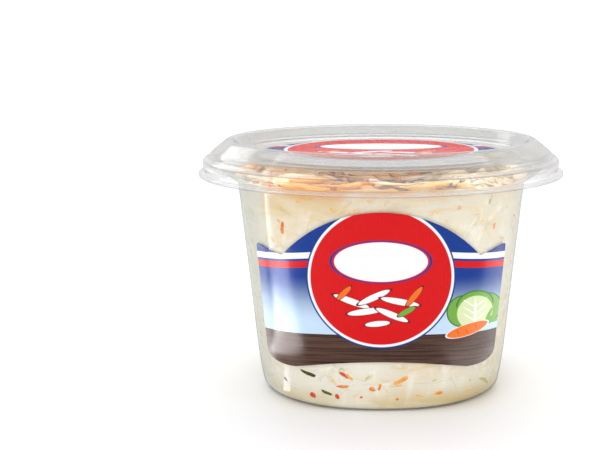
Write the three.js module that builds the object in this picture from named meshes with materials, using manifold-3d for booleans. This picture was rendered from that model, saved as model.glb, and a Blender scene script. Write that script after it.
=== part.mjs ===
// A tub of coleslaw: a clear thermoformed tub with a round rim, the press-on lid, a printed label on each
// and the salad that fills it.
// Millimetres, +Z up. The tub stands on z = 0 with its axis on Z, and the body label faces -Y.
import * as THREE from "three";
import { mergeVertices } from "three/addons/utils/BufferGeometryUtils.js";
import Module from "manifold-3d";

const wasm = await Module();
wasm.setup();

const { clamp, degToRad, lerp, smoothstep } = THREE.MathUtils;
const QUARTER_TURN = Math.PI / 2;
const FULL_TURN = Math.PI * 2;

// ---- Tub ----------------------------------------------------------------------------------------
// The wall is a square with bowed sides and round corners. It widens from the foot to the mouth, and
// close to the floor its corners are cut back to a nearly round base.
const SHEET = 0.7; // thickness of the clear plastic, tub and lid alike
const WALL_TOP = 66.2; // where the wall turns out into the round rim
const FOOT_HALF = 37.6; // half width across the flats, run down to z = 0
const MOUTH_HALF = 45.1; // the same at the top of the wall
const FOOT_CORNER = 17; // corner radius at the foot
const MOUTH_CORNER = 25.8; // corner radius at the top of the wall
const FOOT_BOW = degToRad(6.5); // half the angle that a side turns through, at the foot
const MOUTH_BOW = degToRad(15.2); // the same at the top of the wall
const FOOT_ROUND = 3.2; // radius of the round between wall and base
const BASE_ROUNDNESS = 0.83; // 0 keeps the wall's corners down to the floor, 1 makes the foot a circle
const CUT_BACK_Z = 22; // height below which the corners are cut back
const FOOT_RING_WIDTH = 6; // flat ring that the tub stands on
const BASE_LIFT = 0.9; // how far the middle of the base is raised
const BASE_STEP = 1.1; // width of the step up to it

const NECK_RADIUS = 51.5; // outside of the round neck above the wall
const NECK_FOOT = 70; // where the neck starts
const RIM_UNDERSIDE = 71.5; // underside of the flat rim
const RIM_RADIUS = 53.8; // inside of the rim's turned-down edge
const RIM_EDGE_Z = 69.9; // bottom of that edge
const RIM_BEVEL = 0.6;

// ---- Lid ----------------------------------------------------------------------------------------
const LIP_RADIUS = 57.5; // the widest part of the pack
const LIP_Z = 67.5; // bottom of the lip
const LIP_THICKNESS = 1;
const LIP_BEVEL = 0.4;
const CREST_Z = 78.4; // top of the raised ring
const CREST_INNER = 46.9;
const CREST_OUTER = 48.2;
const CREST_BEVEL = 0.7;
const CREST_SHOULDER = 1.1; // how far out the crest is rounded off
const PANEL_Z = 73.3; // top of the recessed panel
const PANEL_RADIUS = 43.6;
const PANEL_COVE = 1.2; // width of the hollow corner round the panel
// Turns of the lid's sheet between crest and lip, as distance from the axis and height.
const SLOPE_FOOT = new THREE.Vector2(53.7, 74.2);
const RIM_SEAT = new THREE.Vector2(54.2, 73.3); // crease over the tub's rim
const SKIRT = new THREE.Vector2(56.1, 71.2); // widest part of the skirt round the tub's rim
const WAIST = new THREE.Vector2(55.6, 69.4); // snaps in below the tub's rim

// ---- Labels -------------------------------------------------------------------------------------
const LABEL_THICKNESS = 0.25;
const LABEL_LIFT = 0.15; // film of glue between the wall and the body label
const LID_LABEL_RADIUS = 38.9;
const LID_LABEL_LIFT = 0.05;
const ARCH_TOP = 61.5; // highest point of the body label
const ARCH_RADIUS = 37; // the same round as the lid's label, nearly
const NOTCH_X = 28.6; // where the arch meets the wings
const NOTCH_Z = 48;
const WING_TIP_X = 36.4;
const WING_TIP_Z = 50.6;
const LABEL_FOOT_Z = 14.1; // where the foot edge meets the rounding of the lower corners
const LABEL_FOOT_X = 33.4; // where the lines of the side and foot edges meet
const LABEL_FLARE = 0.3; // how much wider it is just above its lower corners
const LABEL_CORNER = new THREE.Vector2(8, 4.5); // reach of that rounding, along the foot edge and up
const LABEL_FOOT_ARCH = 2.1; // how much higher the foot edge is in its middle

// ---- Salad --------------------------------------------------------------------------------------
const SALAD_CLEAR = 0.6; // gap between the shreds and the tub
const SHRED_RELIEF = 0.8; // how far the shreds stand out of the dressing
const SALAD_FLOOR = 2.1; // underside of the salad
const SALAD_TOP = 67.4; // mean height of its uneven top
const SALAD_LUMP = 1.3; // how far the top rises and falls
const BROAD_LUMPS = new THREE.Vector2(41, 50); // spacing of the broad lumps in X and Y
const SMALL_LUMPS = new THREE.Vector2(23, -29); // spacing of the ripples that cross them
const SALAD_CEILING = 71.9; // no shred reaches higher, as the lid is there
const TOP_REACH = 38; // the loose shreds on top stay within this distance of the axis

const KINDS = {
  wallCabbage: { count: 16, length: [13, 22], width: [2.2, 3.4], thickness: 1.3 },
  wallCarrot: { count: 18, length: [8, 13], width: [1.4, 2], thickness: 1.4 },
  wallPepper: { count: 12, length: [4, 8], width: [1.6, 2.4], thickness: 1.4 },
  topCabbage: { count: 16, length: [16, 30], width: [2.4, 3.6], thickness: 1.1 },
  topCarrot: { count: 9, length: [10, 18], width: [1.6, 2.2], thickness: 1.2 },
};
const SHRED_STEP = 4.4; // length of one straight piece of a bent shred
const SHRED_END = 0.55; // a shred's ends are this share of its width
const WALL_TILT = [-0.7, 0.7]; // angle of a shred at the wall to the horizontal
const WALL_CURL = [-0.12, 0.12]; // turn of a shred at the wall from one piece to the next
const TOP_CURL = [-0.22, 0.22]; // the same on top
const TOP_RISE = [0.3, 2.6]; // how far the far end of a loose shred stands up

// ---- Shape helpers ------------------------------------------------------------------------------

// Seeded random numbers, so that the salad is the same each time.
function randomFrom(seed) {
  let state = seed;
  return () => {
    state = (state + 0x6d2b79f5) | 0;
    let mixed = Math.imul(state ^ (state >>> 15), 1 | state);
    mixed = (mixed + Math.imul(mixed ^ (mixed >>> 7), 61 | mixed)) ^ mixed;
    return ((mixed ^ (mixed >>> 14)) >>> 0) / 4294967296;
  };
}

// The tub's outline at height z, moved inwards by inset.
function wallLevel(z, inset = 0) {
  const rise = z / WALL_TOP;
  const half = lerp(FOOT_HALF, MOUTH_HALF, rise);
  const corner = lerp(FOOT_CORNER, MOUTH_CORNER, rise);
  const roundness = BASE_ROUNDNESS * Math.max(1 - z / CUT_BACK_Z, 0) ** 2;
  return {
    half: half - inset,
    corner: lerp(corner, half, roundness) - inset,
    bow: lerp(FOOT_BOW, MOUTH_BOW, rise),
    z,
  };
}

// Radius of a level's bowed sides, which meet its corner arcs without a kink.
function sideRadius({ half, corner, bow }) {
  const share = Math.cos(bow) - Math.sin(bow);
  return (half - corner * share) / (1 - share);
}

// The point of a level's outline whose outward normal points in the direction `turn` from +X.
function outlinePoint(level, turn) {
  const quarter = Math.round(turn / QUARTER_TURN);
  const local = turn - quarter * QUARTER_TURN;
  const side = sideRadius(level);
  const held = clamp(local, -level.bow, level.bow);
  const radius = held === local ? side : level.corner;
  const point = new THREE.Vector3(
    level.half - side + (side - radius) * Math.cos(held) + radius * Math.cos(local),
    (side - radius) * Math.sin(held) + radius * Math.sin(local),
    level.z,
  );
  return point.applyAxisAngle(new THREE.Vector3(0, 0, 1), quarter * QUARTER_TURN);
}

// All points of a level's outline, with the same number on each side and each corner.
function outline(level, sideSteps, cornerSteps) {
  const turns = [];
  for (let quarter = 0; quarter < 4; quarter++) {
    const middle = quarter * QUARTER_TURN;
    for (let i = 0; i < sideSteps; i++) turns.push(middle + lerp(-level.bow, level.bow, i / sideSteps));
    for (let i = 0; i < cornerSteps; i++)
      turns.push(middle + lerp(level.bow, QUARTER_TURN - level.bow, i / cornerSteps));
  }
  return turns.map((turn) => outlinePoint(level, turn));
}

// Skins rings of points into a closed surface, whose first and last rings are closed by flat fans.
function skin(rings) {
  const count = rings[0].length;
  const index = [];
  for (let row = 0; row < rings.length - 1; row++) {
    const low = row * count;
    const high = low + count;
    for (let i = 0; i < count; i++) {
      const next = (i + 1) % count;
      index.push(low + i, low + next, high + next);
      index.push(low + i, high + next, high + i);
    }
  }
  const last = (rings.length - 1) * count;
  for (let i = 1; i < count - 1; i++) {
    index.push(0, i + 1, i);
    index.push(last, last + i, last + i + 1);
  }
  const geometry = new THREE.BufferGeometry().setFromPoints(rings.flat());
  geometry.setIndex(index);
  return geometry;
}

const SHARPEST_BEND = 0.6; // cosine of half a turn, past which the other face cuts the corner

// The other face of a plastic sheet: the profile moved sideways by the sheet's thickness.
// A profile point is a distance from the axis and a height.
function otherFace(profile, thickness) {
  return profile.map((point, i) => {
    const before = profile[Math.max(i - 1, 0)];
    const after = profile[Math.min(i + 1, profile.length - 1)];
    const into = new THREE.Vector2().subVectors(point, before).normalize();
    const out = new THREE.Vector2().subVectors(after, point).normalize();
    const along = new THREE.Vector2().addVectors(into, out).normalize();
    const bend = Math.max(along.dot(i ? into : out), SHARPEST_BEND);
    return new THREE.Vector2(point.x - (along.y * thickness) / bend, point.y + (along.x * thickness) / bend);
  });
}

// A quarter circle of profile points from straight down to straight out, round (x, y).
function roundedFoot(x, y, radius, steps) {
  return Array.from({ length: steps + 1 }, (_, i) => {
    const angle = (QUARTER_TURN * i) / steps;
    return new THREE.Vector2(x + radius * Math.sin(angle), y - radius * Math.cos(angle));
  });
}

function toManifold(geometry) {
  const bare = new THREE.BufferGeometry().setAttribute("position", geometry.getAttribute("position"));
  bare.setIndex(geometry.index);
  const merged = mergeVertices(bare);
  const mesh = new wasm.Mesh({
    numProp: 3,
    vertProperties: merged.attributes.position.array,
    triVerts: new Uint32Array(merged.index.array),
  });
  return new wasm.Manifold(mesh);
}

function toGeometry(solid) {
  const { vertProperties, triVerts } = solid.getMesh();
  const geometry = new THREE.BufferGeometry();
  geometry.setAttribute("position", new THREE.BufferAttribute(vertProperties, 3));
  geometry.setIndex(new THREE.BufferAttribute(triVerts, 1));
  return geometry;
}

// ---- Tub ----------------------------------------------------------------------------------------
const TUB_SIDE_STEPS = 3;
const TUB_CORNER_STEPS = 7;
const FOOT_STEPS = 3;
const CUT_BACK_STATIONS = [1 / 3, 2 / 3, 1].map((share) => lerp(FOOT_ROUND, CUT_BACK_Z, share));
const WALL_STATIONS = [...CUT_BACK_STATIONS, lerp(CUT_BACK_Z, WALL_TOP, 0.5), WALL_TOP];
const SHOULDER_STATIONS = [0.3, 0.6, 0.85, 1]; // shares of the way from the wall up to the neck

// The level that a profile point stands for. From the top of the wall on, the outline turns round.
function tubLevel({ x: half, y: z }) {
  const wall = wallLevel(clamp(z, 0, WALL_TOP));
  const roundness = smoothstep(z, WALL_TOP, NECK_FOOT);
  const corner = wall.corner - (wall.half - half);
  return { half, corner: lerp(corner, half, roundness), bow: wall.bow, z };
}

// Outer face of the tub's sheet, from the raised middle of the base to the rim's turned-down edge.
function tubProfile() {
  const ringOuter = wallLevel(FOOT_ROUND).half - FOOT_ROUND;
  const ringInner = ringOuter - FOOT_RING_WIDTH;
  const shoulder = SHOULDER_STATIONS.map(
    (share) =>
      new THREE.Vector2(
        lerp(MOUTH_HALF, NECK_RADIUS, smoothstep(share, 0, 1)),
        lerp(WALL_TOP, NECK_FOOT, share),
      ),
  );
  return [
    new THREE.Vector2(ringInner - BASE_STEP, BASE_LIFT),
    new THREE.Vector2(ringInner, 0),
    ...roundedFoot(ringOuter, FOOT_ROUND, FOOT_ROUND, FOOT_STEPS),
    ...WALL_STATIONS.map((z) => new THREE.Vector2(wallLevel(z).half, z)),
    ...shoulder,
    new THREE.Vector2(NECK_RADIUS, RIM_UNDERSIDE),
    new THREE.Vector2(RIM_RADIUS - RIM_BEVEL, RIM_UNDERSIDE),
    new THREE.Vector2(RIM_RADIUS, RIM_UNDERSIDE - RIM_BEVEL),
    new THREE.Vector2(RIM_RADIUS, RIM_EDGE_Z),
  ];
}

function makeTub() {
  const outer = tubProfile();
  const inner = otherFace(outer, SHEET).reverse();
  const levels = [...outer, ...inner].map((point) => tubLevel(point));
  return skin(levels.map((level) => outline(level, TUB_SIDE_STEPS, TUB_CORNER_STEPS)));
}

// ---- Lid ----------------------------------------------------------------------------------------
const LID_SEGMENTS = 48;
const CURVE_STEPS = 2; // straight pieces to each curve of the lid's profile

// Top face of the lid's sheet, from its middle out to the bottom of the lip.
function lidProfile() {
  const lipTop = LIP_Z + LIP_THICKNESS;
  const path = new THREE.Path();
  path.moveTo(0, PANEL_Z);
  path.lineTo(PANEL_RADIUS, PANEL_Z);
  path.lineTo(PANEL_RADIUS + PANEL_COVE, PANEL_Z + PANEL_COVE / 2);
  path.lineTo(CREST_INNER - CREST_BEVEL, CREST_Z - CREST_BEVEL);
  path.lineTo(CREST_INNER, CREST_Z);
  path.lineTo(CREST_OUTER, CREST_Z);
  path.lineTo(CREST_OUTER + CREST_SHOULDER, CREST_Z - CREST_BEVEL);
  path.lineTo(SLOPE_FOOT.x, SLOPE_FOOT.y);
  path.lineTo(RIM_SEAT.x, RIM_SEAT.y);
  path.quadraticCurveTo(SKIRT.x, lerp(SKIRT.y, RIM_SEAT.y, 0.5), SKIRT.x, SKIRT.y);
  path.quadraticCurveTo(SKIRT.x, lerp(SKIRT.y, WAIST.y, 0.5), WAIST.x, WAIST.y);
  path.quadraticCurveTo(WAIST.x, lipTop, LIP_RADIUS - LIP_BEVEL, lipTop);
  path.lineTo(LIP_RADIUS, lipTop - LIP_BEVEL);
  path.lineTo(LIP_RADIUS, LIP_Z);
  return path.getPoints(CURVE_STEPS);
}

function makeLid() {
  const top = lidProfile();
  // The sheet's other face is below, which is the far side of the profile when it is walked outwards.
  const underside = otherFace(top, -SHEET);
  underside[0].x = 0;
  const geometry = new THREE.LatheGeometry([...underside, ...top.reverse()], LID_SEGMENTS);
  return geometry.rotateX(QUARTER_TURN);
}

// ---- Labels -------------------------------------------------------------------------------------

function makeLidLabel() {
  const radius = LID_LABEL_RADIUS;
  return new THREE.CylinderGeometry(radius, radius, LABEL_THICKNESS, LID_SEGMENTS).rotateX(QUARTER_TURN);
}

const LABEL_CURVE_STEPS = 10; // straight pieces to each curve of the label's outline

// The die-cut outline of the body label, seen from the front: x across, y up.
function labelShape() {
  const shape = new THREE.Shape();
  const archCentre = ARCH_TOP - ARCH_RADIUS;
  const archEnd = Math.atan2(NOTCH_Z - archCentre, NOTCH_X);
  shape.moveTo(WING_TIP_X, WING_TIP_Z);
  shape.lineTo(NOTCH_X, NOTCH_Z);
  shape.absarc(0, archCentre, ARCH_RADIUS, archEnd, Math.PI - archEnd, false);
  shape.lineTo(-NOTCH_X, NOTCH_Z);
  shape.lineTo(-WING_TIP_X, WING_TIP_Z);
  const sideX = LABEL_FOOT_X + LABEL_FLARE;
  const sideZ = LABEL_FOOT_Z + LABEL_CORNER.y;
  const footEnd = LABEL_FOOT_X - LABEL_CORNER.x;
  shape.lineTo(-sideX, sideZ);
  shape.quadraticCurveTo(-LABEL_FOOT_X, LABEL_FOOT_Z, -footEnd, LABEL_FOOT_Z);
  shape.quadraticCurveTo(0, LABEL_FOOT_Z + 2 * LABEL_FOOT_ARCH, footEnd, LABEL_FOOT_Z);
  shape.quadraticCurveTo(LABEL_FOOT_X, LABEL_FOOT_Z, sideX, sideZ);
  return shape;
}

// The tub's wall as a solid block, moved outwards by `lift`.
function wallBlock(lift) {
  const levels = [FOOT_ROUND, ...WALL_STATIONS].map((z) => wallLevel(z, -lift));
  return toManifold(skin(levels.map((level) => outline(level, TUB_SIDE_STEPS, TUB_CORNER_STEPS))));
}

function makeTubLabel() {
  const cutter = new THREE.ExtrudeGeometry(labelShape(), {
    depth: MOUTH_HALF,
    bevelEnabled: false,
    curveSegments: LABEL_CURVE_STEPS,
  });
  // Stood upright, the outline is swept from in front of the tub to a little short of its axis.
  cutter.rotateX(QUARTER_TURN).translate(0, -FOOT_CORNER, 0);
  cutter.deleteAttribute("normal");
  cutter.deleteAttribute("uv");
  const cutterSolid = toManifold(mergeVertices(cutter));
  const film = wallBlock(LABEL_LIFT + LABEL_THICKNESS).subtract(wallBlock(LABEL_LIFT));
  return toGeometry(film.intersect(cutterSolid));
}

// ---- Salad --------------------------------------------------------------------------------------
const SALAD_INSET = SHEET + SALAD_CLEAR; // where the shreds at the wall end
const SALAD_SIDE_STEPS = 3;
const SALAD_CORNER_STEPS = 5;
const SALAD_FOOT_STEPS = 3;
const LOWEST_SHRED = FOOT_ROUND + SALAD_FLOOR; // along the wall
const HIGHEST_SHRED = WALL_TOP;
const SALAD_RINGS = [0.96, 0.78, 0.58, 0.38, 0.18]; // rings of the top, as shares of its outline
const SALAD_SEED = 20;
const random = randomFrom(SALAD_SEED);

function between([low, high]) {
  return lerp(low, high, random());
}

// Height of the salad's uneven top.
function saladTop(x, y) {
  const broad = Math.cos((FULL_TURN * x) / BROAD_LUMPS.x) * Math.cos((FULL_TURN * y) / BROAD_LUMPS.y);
  const small = Math.sin(FULL_TURN * (x / SMALL_LUMPS.x + y / SMALL_LUMPS.y));
  return SALAD_TOP + SALAD_LUMP * (broad + small / 2);
}

// The dressing with what is sunk in it, just behind the shreds that show.
function makeDressing() {
  const inset = SALAD_INSET + SHRED_RELIEF;
  const ringOf = (level) => outline(level, SALAD_SIDE_STEPS, SALAD_CORNER_STEPS);
  const footHalf = wallLevel(FOOT_ROUND, inset).half - FOOT_ROUND;
  const foot = roundedFoot(footHalf, SALAD_FLOOR + FOOT_ROUND, FOOT_ROUND, SALAD_FOOT_STEPS);
  const cutBack = CUT_BACK_STATIONS.slice(1).map((z) => ringOf(wallLevel(z, inset)));
  const wallRing = ringOf(wallLevel(SALAD_TOP - SALAD_LUMP, inset));
  const topRings = SALAD_RINGS.map((share) =>
    wallRing.map(({ x, y }) => new THREE.Vector3(x * share, y * share, saladTop(x * share, y * share))),
  );
  const footRings = foot.map((point) => ringOf(tubLevel(point)));
  return toManifold(skin([...footRings, ...cutBack, wallRing, ...topRings]));
}

// A shred: a flat strip along a path. Its broad face looks along the direction given for each point.
function shred(path, faces, width, thickness) {
  const rings = path.map((point, i) => {
    const before = path[Math.max(i - 1, 0)];
    const after = path[Math.min(i + 1, path.length - 1)];
    const along = new THREE.Vector3().subVectors(after, before).normalize();
    const side = new THREE.Vector3().crossVectors(along, faces[i]).normalize();
    const isEnd = i === 0 || i === path.length - 1;
    const across = (width / 2) * (isEnd ? SHRED_END : 1);
    const corners = [
      [across, thickness / 2],
      [across, -thickness / 2],
      [-across, -thickness / 2],
      [-across, thickness / 2],
    ];
    return corners.map(([s, f]) => point.clone().addScaledVector(side, s).addScaledVector(faces[i], f));
  });
  return toManifold(skin(rings));
}

// Whether a place on the wall lies behind the body label, where no shred shows.
function isBehindLabel({ x, y, z }) {
  return y < 0 && Math.abs(x) < NOTCH_X && z > LABEL_FOOT_Z && z < NOTCH_Z;
}

// Outward normal of the wall, which leans out as it rises, where it faces the direction `turn`.
function wallNormal(turn) {
  const lean = (MOUTH_HALF - FOOT_HALF) / WALL_TOP;
  return new THREE.Vector3(Math.cos(turn), Math.sin(turn), -lean).normalize();
}

// A shred pressed against the inside of the wall, from height z and the wall's direction `turn`.
function wallShred({ length, width, thickness }, z, turn) {
  const steps = Math.max(Math.round(between(length) / SHRED_STEP), 1);
  const heading = between(WALL_TILT);
  const curl = between(WALL_CURL);
  const path = [];
  const faces = [];
  let place = turn;
  let height = z;
  for (let i = 0; i <= steps; i++) {
    const level = wallLevel(height, SALAD_INSET + thickness / 2);
    const local = place - Math.round(place / QUARTER_TURN) * QUARTER_TURN;
    const radius = Math.abs(local) < level.bow ? sideRadius(level) : level.corner;
    path.push(outlinePoint(level, place));
    faces.push(wallNormal(place));
    place += (SHRED_STEP * Math.cos(heading + curl * i)) / radius;
    height += SHRED_STEP * Math.sin(heading + curl * i);
  }
  const fits = path.every((point) => point.z > LOWEST_SHRED && point.z < HIGHEST_SHRED);
  if (!fits || isBehindLabel(path[0]) || isBehindLabel(path[steps])) return null;
  return shred(path, faces, between(width), thickness);
}

// A loose shred on the salad's top, which rises from it towards one end.
function topShred({ length, width, thickness }, radius, turn) {
  const steps = Math.max(Math.round(between(length) / SHRED_STEP), 2);
  const curl = between(TOP_CURL);
  const rise = between(TOP_RISE);
  const path = [];
  const faces = [];
  let heading = random() * FULL_TURN;
  const place = new THREE.Vector2(radius * Math.cos(turn), radius * Math.sin(turn));
  for (let i = 0; i <= steps; i++) {
    const lift = rise * (i / steps) ** 2;
    const z = saladTop(place.x, place.y) + lift;
    path.push(new THREE.Vector3(place.x, place.y, z));
    faces.push(new THREE.Vector3(0, 0, 1));
    place.x += SHRED_STEP * Math.cos(heading);
    place.y += SHRED_STEP * Math.sin(heading);
    heading += curl;
  }
  const fits = path.every(({ x, y, z }) => Math.hypot(x, y) < TOP_REACH && z + thickness < SALAD_CEILING);
  return fits ? shred(path, faces, between(width), thickness) : null;
}

// Multiples of these two shares spread points evenly over an area.
const GOLDEN_SHARE = 0.618034;
const PLASTIC_SHARE = 0.7548777;
const MOST_TRIES = 6; // places looked at for each piece

// Makes `count` pieces, each from the next of evenly spread places, and passes over what doesn't fit.
function scatter(count, makeOne) {
  const pieces = [];
  for (let tried = 1; pieces.length < count && tried < count * MOST_TRIES; tried++) {
    const piece = makeOne((tried * GOLDEN_SHARE) % 1, (tried * PLASTIC_SHARE) % 1);
    if (piece) pieces.push(piece);
  }
  return pieces;
}

function makeColeslaw() {
  const atWall = (kind) =>
    scatter(kind.count, (u, v) => wallShred(kind, lerp(LOWEST_SHRED, HIGHEST_SHRED, v), u * FULL_TURN));
  const onTop = (kind) =>
    scatter(kind.count, (u, v) => topShred(kind, TOP_REACH * Math.sqrt(v), u * FULL_TURN));
  const pieces = [
    ...atWall(KINDS.wallCabbage),
    ...atWall(KINDS.wallCarrot),
    ...atWall(KINDS.wallPepper),
    ...onTop(KINDS.topCabbage),
    ...onTop(KINDS.topCarrot),
  ];
  const fused = pieces.reduce((whole, piece) => whole.add(piece), makeDressing());
  // The largest of the closed surfaces is the heap. The others are pockets that crossing shreds seal in.
  const [heap] = fused.decompose().sort((a, b) => b.volume() - a.volume());
  return toGeometry(heap);
}

// ---- Assembly -----------------------------------------------------------------------------------

function named(name, geometry, material) {
  const mesh = new THREE.Mesh(geometry, material);
  mesh.name = name;
  return mesh;
}

function clearPlastic(opacity) {
  return new THREE.MeshStandardMaterial({
    color: 0xe9eeee,
    roughness: 0.12,
    metalness: 0,
    transparent: true,
    opacity,
  });
}

const printedPaper = new THREE.MeshStandardMaterial({ color: 0xd9202a, roughness: 0.3, metalness: 0 });
const dressedSalad = new THREE.MeshStandardMaterial({ color: 0xeadfc8, roughness: 0.35, metalness: 0 });

const tub = named("tub", makeTub(), clearPlastic(0.3));
const lid = named("lid", makeLid(), clearPlastic(0.35));
const coleslaw = named("coleslaw", makeColeslaw(), dressedSalad);
const tubLabel = named("tub_label", makeTubLabel(), printedPaper);
const lidLabel = named("lid_label", makeLidLabel(), printedPaper);
lidLabel.position.z = PANEL_Z + LID_LABEL_LIFT + LABEL_THICKNESS / 2;

const pack = new THREE.Group();
pack.name = "coleslaw_tub";
pack.add(tub, lid, coleslaw, tubLabel, lidLabel);

export default pack;
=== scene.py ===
import math

import bpy
import numpy as np
from mathutils import Euler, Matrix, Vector
from mathutils.geometry import delaunay_2d_cdt


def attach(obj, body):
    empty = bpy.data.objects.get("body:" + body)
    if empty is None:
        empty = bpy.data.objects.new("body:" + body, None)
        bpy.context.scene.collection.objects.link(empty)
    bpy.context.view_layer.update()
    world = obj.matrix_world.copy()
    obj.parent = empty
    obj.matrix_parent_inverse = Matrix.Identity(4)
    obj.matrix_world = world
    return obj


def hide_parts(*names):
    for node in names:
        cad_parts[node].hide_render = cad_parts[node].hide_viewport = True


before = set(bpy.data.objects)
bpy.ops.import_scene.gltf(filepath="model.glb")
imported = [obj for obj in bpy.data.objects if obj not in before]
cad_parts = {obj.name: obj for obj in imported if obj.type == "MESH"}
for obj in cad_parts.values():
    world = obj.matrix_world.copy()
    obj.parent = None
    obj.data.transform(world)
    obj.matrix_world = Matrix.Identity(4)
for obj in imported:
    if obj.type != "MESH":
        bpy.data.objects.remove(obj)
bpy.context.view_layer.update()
scene = bpy.context.scene

# A tub of coleslaw: clear tub and lid, printed labels, and the salad that fills it.
# Metres, +Z up, as in the frame. The body label faces -Y.
MM = 0.001
QUARTER = math.pi / 2
TURN = math.pi * 2

# ---- Driving dimensions, the same as the solids' ----
SHEET = 0.7 * MM
WALL_TOP = 66.2 * MM
FOOT_HALF = 37.6 * MM
MOUTH_HALF = 45.1 * MM
FOOT_CORNER = 17 * MM
MOUTH_CORNER = 25.8 * MM
FOOT_BOW = math.radians(6.5)
MOUTH_BOW = math.radians(15.2)
FOOT_ROUND = 3.2 * MM
BASE_ROUNDNESS = 0.83
CUT_BACK_Z = 22 * MM
FOOT_RING_WIDTH = 6 * MM
BASE_LIFT = 0.9 * MM
BASE_STEP = 1.1 * MM
NECK_RADIUS = 51.5 * MM
NECK_FOOT = 70 * MM
RIM_UNDERSIDE = 71.5 * MM
RIM_RADIUS = 53.8 * MM
RIM_EDGE_Z = 69.9 * MM
RIM_BEVEL = 0.6 * MM

LIP_RADIUS = 57.5 * MM
LIP_Z = 67.5 * MM
LIP_TOP = 68.5 * MM
CREST_Z = 78.4 * MM
CREST_INNER = 46.9 * MM
CREST_OUTER = 48.2 * MM
PANEL_Z = 73.3 * MM
PANEL_RADIUS = 43.6 * MM
SLOPE_FOOT = (53.7 * MM, 74.2 * MM)
RIM_SEAT = (54.2 * MM, 73.3 * MM)
SKIRT = (56.1 * MM, 71.2 * MM)
WAIST = (55.6 * MM, 69.4 * MM)

LABEL_THICKNESS = 0.25 * MM
LABEL_LIFT = 0.15 * MM
LID_LABEL_RADIUS = 38.9 * MM
LID_LABEL_Z = PANEL_Z + 0.05 * MM
ARCH_TOP = 61.5 * MM
ARCH_RADIUS = 37 * MM
NOTCH = (28.6 * MM, 48 * MM)
WING_TIP = (36.4 * MM, 50.6 * MM)
LABEL_FOOT_X = 33.4 * MM
LABEL_FOOT_Z = 14.1 * MM
LABEL_FLARE = 0.3 * MM
LABEL_CORNER = (8 * MM, 4.5 * MM)
LABEL_FOOT_ARCH = 2.1 * MM

SALAD_TOP = 67.4 * MM
SALAD_LUMP = 1.3 * MM
BROAD_LUMPS = (41 * MM, 50 * MM)
SMALL_LUMPS = (23 * MM, -29 * MM)
WALL_BITE = 0.3 * MM  # how far the salad reaches into the wall, so that no air shows between them
SALAD_BRIM = 67.8 * MM  # how high the dressing stands at the wall
TOP_SINK = 0.3 * MM  # how far the dressing lies below the heap of pieces on it
SHRED_PROUD = 0.07 * MM  # how far a shred at the wall stands out of the dressing

rng = np.random.default_rng(11)


def lerp(a, b, t):
    return a + (b - a) * t


def smoothstep(x, low, high):
    t = np.clip((x - low) / (high - low), 0, 1)
    return t * t * (3 - 2 * t)


# ---- The tub's section: a square with bowed sides and round corners ----
SIDE_STEPS = 12
CORNER_STEPS = 16


def wall_level(z, inset=0):
    """Half width, corner radius and half angle of a side at height z, moved inwards by inset."""
    rise = z / WALL_TOP
    half = lerp(FOOT_HALF, MOUTH_HALF, rise)
    corner = lerp(FOOT_CORNER, MOUTH_CORNER, rise)
    roundness = BASE_ROUNDNESS * np.maximum(1 - z / CUT_BACK_Z, 0) ** 2
    return half - inset, lerp(corner, half, roundness) - inset, lerp(FOOT_BOW, MOUTH_BOW, rise)


def side_radius(half, corner, bow):
    """Radius of a bowed side, so that it meets the corners smoothly."""
    share = np.cos(bow) - np.sin(bow)
    return (half - corner * share) / (1 - share)


def outline_point(level, turn):
    """x and y of the outline's point whose outward normal points in the direction turn from +X."""
    half, corner, bow = level
    quarter = np.round(turn / QUARTER) * QUARTER
    local = turn - quarter
    side = side_radius(half, corner, bow)
    held = np.clip(local, -bow, bow)
    radius = np.where(np.abs(local) <= bow, side, corner)
    x = half - side + (side - radius) * np.cos(held) + radius * np.cos(local)
    y = (side - radius) * np.sin(held) + radius * np.sin(local)
    return x * np.cos(quarter) - y * np.sin(quarter), x * np.sin(quarter) + y * np.cos(quarter)


def further_round(level, turn, distance):
    """The direction of the normal that lies distance further round the outline."""
    half, corner, bow = level
    side = side_radius(half, corner, bow)
    quarter = round(turn / QUARTER) * QUARTER
    local = turn - quarter
    from_middle = local * side
    if abs(local) > bow:
        from_middle = math.copysign(bow * side + (abs(local) - bow) * corner, local)
    from_middle += distance
    on_corner = abs(from_middle) - bow * side
    if on_corner <= 0:
        return quarter + from_middle / side
    return quarter + math.copysign(bow + on_corner / corner, from_middle)


def anywhere_round(level):
    """The direction of the normal at a random place, evenly spread along the outline."""
    half, corner, bow = level
    half_quarter = bow * side_radius(half, corner, bow) + (QUARTER / 2 - bow) * corner
    return further_round(level, rng.integers(4) * QUARTER, rng.uniform(-1, 1) * half_quarter)


def outline(level, z):
    """A ring of points of the outline at height z."""
    bow = level[2]
    side = np.linspace(-bow, bow, SIDE_STEPS, endpoint=False)
    corner = np.linspace(bow, QUARTER - bow, CORNER_STEPS, endpoint=False)
    turns = np.concatenate([np.concatenate([side, corner]) + k * QUARTER for k in range(4)])
    x, y = outline_point(level, turns)
    return np.stack([x, y, np.full_like(x, z)], axis=1)


def tub_level(half, z):
    """The level that a profile point stands for. Above the wall the outline turns round."""
    wall_half, wall_corner, bow = wall_level(min(max(z, 0), WALL_TOP))
    roundness = smoothstep(z, WALL_TOP, NECK_FOOT)
    return half, lerp(wall_corner - (wall_half - half), half, roundness), bow


def tub_rings(profile):
    """The tub's outline at each point of a profile, whose points say how far out and how high."""
    return [outline(tub_level(half, z), z) for half, z in profile]


def arc(radius, turns):
    """Points at radius from the middle, in the directions turns."""
    return [radius * np.array([math.cos(a), math.sin(a)]) for a in turns]


# ---- Mesh helpers ----


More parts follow.
